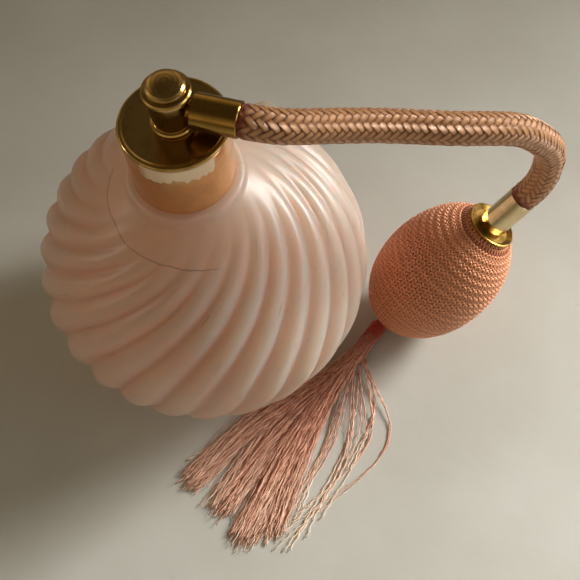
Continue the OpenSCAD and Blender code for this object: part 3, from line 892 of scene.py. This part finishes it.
def tassel_route(start, through, end, lift):
    """A thread's route: out of the binding, through the middle of the fan, to its end on the table."""
    leave = start + 5 * MM * KNOT_AIM
    points = [start, leave, through, end]
    heights = [start[2], start[2], lift, max(0.4 * lift, 0.5 * MM)]
    return np.array([[p[0], p[1], z] for p, z in zip(points, heights)])


# Clusters of the fan, in mm: a place that the threads pass and their spread there, the place where
# they end and their spread there, and how many threads there are
CLUSTERS = [
    ((24, -32), 4.5, (8.5, -57), 4.5, 130),
    ((31, -34), 5.0, (20, -62), 6.0, 140),
    ((38, -36), 4.5, (30, -69), 6.0, 190),
    ((41, -33), 3.5, (38, -66), 5.0, 80),
]


def tassel_mass(name, clusters):
    """Some of the fan's clusters of threads."""
    bundle = Bundle()
    for through, spread, end, end_spread, threads in clusters:
        for _ in range(threads):
            start = knot_centre + 1.9 * MM * random.uniform(-1, 1, 3) * (1, 1, 0.8)
            lean = random.normal(0, 1, 2).clip(-1.9, 1.9)
            middle = np.array(through) * MM + lean * spread * 0.5 * MM
            finish = np.array(end) * MM + (0.6 * lean + 0.6 * random.normal(0, 1, 2)) * end_spread * 0.5 * MM
            lift = random.uniform(0.5, 3.1) * MM
            route = tassel_route(start, np.append(middle, 0), np.append(finish, 0), lift)
            wave = random.uniform(4.5, 8) * MM
            crinkled_thread(bundle, route, wave, THREAD_D, random.uniform(0, 1), random.uniform(0, 0.65))
    return bundle.piece(name)


# Loose threads beside the mass, in mm: a way point and the end of each
LOOSE = [
    ((66.0, -22), (41.3, -71.5)), ((61, -24), (44, -62)), ((57, -26), (50, -58)), ((53, -22), (46, -66)),
    ((50, -28), (37, -71)), ((55, -34), (43, -70)), ((47, -26), (44, -58)), ((48, -34), (34, -72)),
    ((59, -14), (56, -40)), ((20, -36), (3.5, -52)), ((16, -38), (9, -50)),
]


def tassel_strays(name):
    """The faded threads that lie beside the mass, two for each way point."""
    bundle = Bundle()
    for through, end in LOOSE:
        for _ in range(2):
            start = knot_centre + 1.3 * MM * random.uniform(-1, 1, 3) * (1, 1, 0.6)
            middle = np.append(np.array(through) + random.normal(0, 0.8, 2), 0) * MM
            finish = np.append(np.array(end) + random.normal(0, 1.2, 2), 0) * MM
            route = tassel_route(start, middle, finish, 0.7 * MM)
            crinkled_thread(bundle, route, random.uniform(3, 5) * MM, STRAY_D, random.uniform(0, 0.6), 1)
    return bundle.piece(name)


TIE_THREADS = 11
TIE_THREAD_D = 0.6 * MM
TIE_START_R = 0.9 * MM                      # the tie's radius at the net, at its middle and at the binding
TIE_MIDDLE_R = 1.5 * MM
TIE_END_R = 1.7 * MM
KNOT_BACK = 1.6 * MM                        # from the binding's middle back to where the tie goes in
tie_mouth = knot_centre - KNOT_BACK * KNOT_AIM


def tassel_cord(name):
    """The short red threads that tie the tassel to the tail of the net."""
    bundle = Bundle()
    sides = 6
    count = 20
    tail = bulb_centre - (BULB_HALF - 0.5 * MM) * bulb_axis
    outline = oval(TIE_THREAD_D, TIE_THREAD_D, sides)
    for i in range(TIE_THREADS):
        turn = TAU * i / TIE_THREADS
        spread = np.array([math.cos(turn) * KNOT_AIM[1], -math.cos(turn) * KNOT_AIM[0], math.sin(turn)])
        start = tail + TIE_START_R * spread * (1, 1, 0.6)
        middle = 0.5 * (tail + tie_mouth) + TIE_MIDDLE_R * spread * (1, 1, 0.7) - np.array([0, 0, 0.2 * MM])
        end = tie_mouth + TIE_END_R * spread
        start[2] = max(start[2], FLOOR_GAP + TIE_THREAD_D)
        line = clamped_spline([start, middle, end], unit(tie_mouth - tail), KNOT_AIM, count)
        side, up = carried_frames(line)
        rings = swept(line, side, up, outline)
        bundle.add(
            rings, count, sides,
            across=np.tile(np.arange(sides) / sides, count),
            crown=np.full(len(rings), 0.6),
            shade=np.full(len(rings), random.uniform(0, 0.7)),
        )
    return bundle.piece(name)


binding_look = satin("binding_thread", "#b0453a", "#6d1f18", rough=0.4, fibre_count=2)
tie = tassel_cord("tassel_cord")
set_look(tie, binding_look)
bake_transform(tie)

tassel_look = satin(
    "tassel_thread", "#efb79a", "#b0674a", rough=0.24, fibre_count=1, ends="#a8453a", faded="#f8dfc6",
)
tassels = [
    tassel_mass("tassel_threads", CLUSTERS[:2]),
    tassel_mass("tassel_threads_right", CLUSTERS[2:]),
    tassel_strays("tassel_strays"),
]
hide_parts("tassel")
for piece in tassels:
    set_look(piece, tassel_look)
    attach(piece, "tassel")

# ---------------------------------------------------------------- finishes of the CAD pieces
NODE_LOOKS = {
    "collar_shell": rose_gold_look,
    "top_plate": aged_brass_look,
    "spray_post": aged_brass_look,
    "closure_knob": aged_brass_look,
    "hose_barrel": barrel_brass_look,
    "spray_nozzle": aged_brass_look,
    "closure_stem": bright_brass_look,
    "clamp_nut": bright_brass_look,
    "bulb_flange": bright_brass_look,
    "hose_ferrule": pale_gold_look,
    "hose_nipple": nickel_look,
    "bulb_nipple": nickel_look,
    "intake_valve_body": nickel_look,
    "ball_retainer": nickel_look,
    "intake_ball": steel_look,
    "collar_liner": liner_look,
    "head_hub": liner_look,
    "siphon_tube": siphon_look,
    "neck_gasket": seal_look,
    "siphon_bush": seal_look,
    "closure_seal": seal_look,
    "tassel_binding": moulded("wound_thread", "#b5453a", rough=0.45),
    "glass_bottle": glass_look,
    "hose_core": hose_core_look,
    "hose_braid": braid_look,
    "rubber_bulb": tan_rubber_look,
    "net_cover": net_look,
    "tassel": tassel_look,
}
for node_name, node_object in frame["nodes"].items():
    set_look(node_object, NODE_LOOKS[node_name])
    node_object.data.shade_smooth()
    tidy_normals(node_object)


# ---------------------------------------------------------------- room
def paper_floor():
    """A sheet of slightly mottled off-white paper, far wider than the object."""
    reach = 3.0                             # from the middle to each edge, in metres
    side = 120                              # points along each edge
    line = np.linspace(-reach, reach, side)
    x, y = np.meshgrid(line, line)
    points = np.stack([x.ravel(), y.ravel(), np.zeros(side * side)], axis=-1)
    i, j = np.meshgrid(np.arange(side - 1), np.arange(side - 1), indexing="ij")
    corner = (i * side + j).ravel()
    faces = np.stack([corner, corner + 1, corner + side + 1, corner + side], axis=-1)
    floor = add_mesh("paper_floor", points, faces.tolist())
    look = Look("paper", {"Specular IOR Level": 0.25})
    tone = look.noise(60 * MM, 4)
    look.set("Base Color", look.mix(look.between(tone, 0.3, 0.7), linear("#c4c4bc"), linear("#bbbab1")))
    look.set("Roughness", look.between(tone, 0.3, 0.7, 0.6, 0.75))
    look.set("Normal", look.bump(look.noise(9 * MM, 6), 0.25 * MM, 0.5))
    set_look(floor, look)


def soft_light(name, azimuth, elevation, distance, size, power, colour, spread=180, target=(0.03, 0, 0.04)):
    """An area light aimed at a target, from an azimuth and elevation in degrees."""
    a = math.radians(azimuth)
    e = math.radians(elevation)
    away = Vector((math.cos(a) * math.cos(e), math.sin(a) * math.cos(e), math.sin(e)))
    data = bpy.data.lights.new(name, "AREA")
    data.shape = "RECTANGLE"
    data.size = size[0]
    data.size_y = size[1]
    data.energy = power
    data.color = colour
    data.spread = math.radians(spread)
    lamp = bpy.data.objects.new(name, data)
    turn = away.to_track_quat("Z", "Y").to_matrix().to_4x4()
    lamp.matrix_world = Matrix.Translation(Vector(target) + away * distance) @ turn
    bpy.context.scene.collection.objects.link(lamp)


def room_light(colour, walls, ceiling):
    """A room of one colour, dim at the horizon; walls and ceiling set how bright it is above that."""
    world = bpy.data.worlds.new("room")
    world.use_nodes = True
    tree = world.node_tree
    direction = tree.nodes.new("ShaderNodeTexCoord")
    parts = tree.nodes.new("ShaderNodeSeparateXYZ")
    tree.links.new(direction.outputs["Generated"], parts.inputs["Vector"])
    product = tree.nodes.new("ShaderNodeMath")
    product.operation = "MULTIPLY"
    for socket, numbers in enumerate(((0.2, 0.75, walls, ceiling), (0.03, 0.2, 0.3, 1))):
        ramp = tree.nodes.new("ShaderNodeMapRange")
        for key, value in zip(("From Min", "From Max", "To Min", "To Max"), numbers):
            ramp.inputs[key].default_value = value
        tree.links.new(parts.outputs["Z"], ramp.inputs["Value"])
        tree.links.new(ramp.outputs["Result"], product.inputs[socket])
    background = tree.nodes["Background"]
    tree.links.new(product.outputs[0], background.inputs["Strength"])
    background.inputs["Color"].default_value = colour
    bpy.context.scene.world = world


paper_floor()
soft_light(
    "window", azimuth=48, elevation=27, distance=0.8, size=(0.34, 0.28), power=1.3,
    colour=(1.0, 0.98, 0.95), spread=48, target=(0.18, -0.1, 0),
)
soft_light(
    "side_window", azimuth=5, elevation=30, distance=0.7, size=(0.42, 0.32), power=0.1,
    colour=(0.8, 0.95, 1.0), spread=52, target=(0.2, -0.09, 0),
)
soft_light(
    "lamp", azimuth=-170, elevation=26, distance=1.2, size=(0.05, 0.05), power=0.75,
    colour=(1.0, 0.95, 0.85),
)
room_light(linear("#b8a586"), walls=1.25, ceiling=0.17)
bpy.context.scene.view_settings.view_transform = "Standard"
